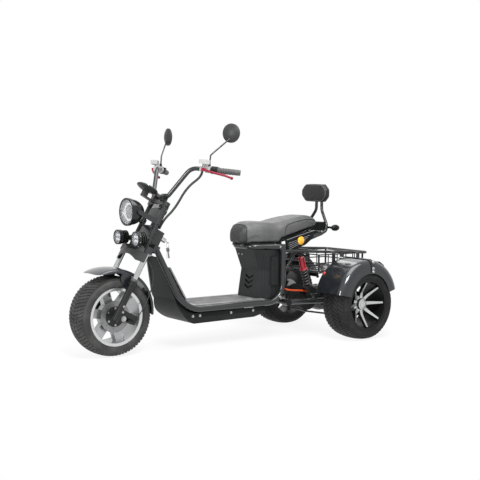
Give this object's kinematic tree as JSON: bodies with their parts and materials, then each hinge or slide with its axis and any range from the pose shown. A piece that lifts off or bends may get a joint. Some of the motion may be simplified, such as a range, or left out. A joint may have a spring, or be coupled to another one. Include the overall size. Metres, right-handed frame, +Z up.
{
  "type": "electric tricycle scooter",
  "caption": "Electric scooter trike: steered fat front wheel, dished rear wheels under mudguards, tube frame with low deck, hinged seat, backrest, wire basket, high bars, round lamps.",
  "frame": {"origin": "on the floor under the middle of the overall length and width", "axes": "+X forward, +Y to the rider's left, +Z up"},
  "size_m": [2.0619, 0.9886, 1.3049],
  "materials": {
    "black_paint": "semi gloss",
    "black_plastic": "matte moulded",
    "battery_case": "matte",
    "seat_vinyl": "grained vinyl",
    "tyre_rubber": "matte",
    "soft_rubber": "matte",
    "silver_alloy": "satin",
    "black_alloy": "satin black",
    "disc_steel": "turned",
    "bright_chrome": "polished",
    "grey_paint": "gloss pearl",
    "clear_lens": "clear",
    "amber_lens": "glossy",
    "red_lens": "glossy",
    "red_paint": "gloss",
    "dark_steel": "satin",
    "red_alloy": "anodised",
    "orange_sheath": "satin"
  },
  "bodies": {
    "chassis": {"main_frame": "black_paint", "ignition_lock": "bright_chrome", "belly_pan": "black_plastic", "footboard": "black_plastic", "battery_box": "black_plastic", "battery": "battery_case", "tail_panels": "black_plastic", "side_reflectors": "amber_lens", "tail_lamp": "red_lens", "rear_signals": "black_plastic", "backrest_tubes": "black_paint", "backrest_pad": "seat_vinyl", "luggage_rack": "black_paint", "basket": "black_paint", "rear_fender_left": "grey_paint", "rear_fender_right": "grey_paint", "fender_straps": "black_paint", "rear_axle": "black_paint", "motor": "black_alloy", "swingarm": "black_paint", "shock_bodies": "dark_steel", "shock_springs": "dark_steel", "shock_cans": "red_paint", "controller": "black_alloy", "phase_cables": "orange_sheath"},
    "seat": {"seat_cushion": "seat_vinyl", "seat_pan": "black_plastic"},
    "steering": {"fork_legs": "black_paint", "stanchions": "bright_chrome", "lower_yoke": "black_paint", "upper_yoke": "black_paint", "handlebar": "black_paint", "grips": "soft_rubber", "switch_pods": "black_plastic", "brake_masters": "silver_alloy", "brake_levers": "red_alloy", "mirror_heads": "black_plastic", "mirror_stems": "black_paint", "headlamp_shell": "black_paint", "headlamp_reflector": "bright_chrome", "lamp_lenses": "clear_lens", "spot_lamps": "black_alloy", "lamp_bracket": "black_paint", "display": "black_plastic", "fork_shroud": "black_plastic", "front_fender": "grey_paint", "front_caliper": "black_alloy", "brake_hose": "soft_rubber", "wiring_loom": "soft_rubber"},
    "front_wheel": {"front_tyre": "tyre_rubber", "front_rim": "silver_alloy", "front_brake_disc": "disc_steel"},
    "rear_wheel_left": {"rear_tyre_left": "tyre_rubber", "rear_rim_left": "black_alloy", "rear_brake_disc_left": "disc_steel"},
    "rear_wheel_right": {"rear_tyre_right": "tyre_rubber", "rear_rim_right": "black_alloy", "rear_brake_disc_right": "disc_steel"}
  },
  "joints": [
    {"name": "steering", "type": "hinge", "parent": "chassis", "child": "steering", "pos_m": [0.79904, 0, 0.22106], "axis": [-0.4924, 0, 0.8704], "range_deg": [-35, 35]},
    {"name": "front_wheel_spin", "type": "hinge", "parent": "steering", "child": "front_wheel", "pos_m": [0.806, 0, 0.225], "axis": [0, 1, 0], "continuous": true},
    {"name": "rear_wheel_left_spin", "type": "hinge", "parent": "chassis", "child": "rear_wheel_left", "pos_m": [-0.759, 0.372, 0.221], "axis": [0, 1, 0], "continuous": true},
    {"name": "rear_wheel_right_spin", "type": "hinge", "parent": "chassis", "child": "rear_wheel_right", "pos_m": [-0.759, -0.372, 0.221], "axis": [0, 1, 0], "continuous": true},
    {"name": "seat_hinge", "type": "hinge", "parent": "chassis", "child": "seat", "pos_m": [-0.088, 0, 0.594], "axis": [0, 1, 0], "range_deg": [0, 75]}
  ]
}
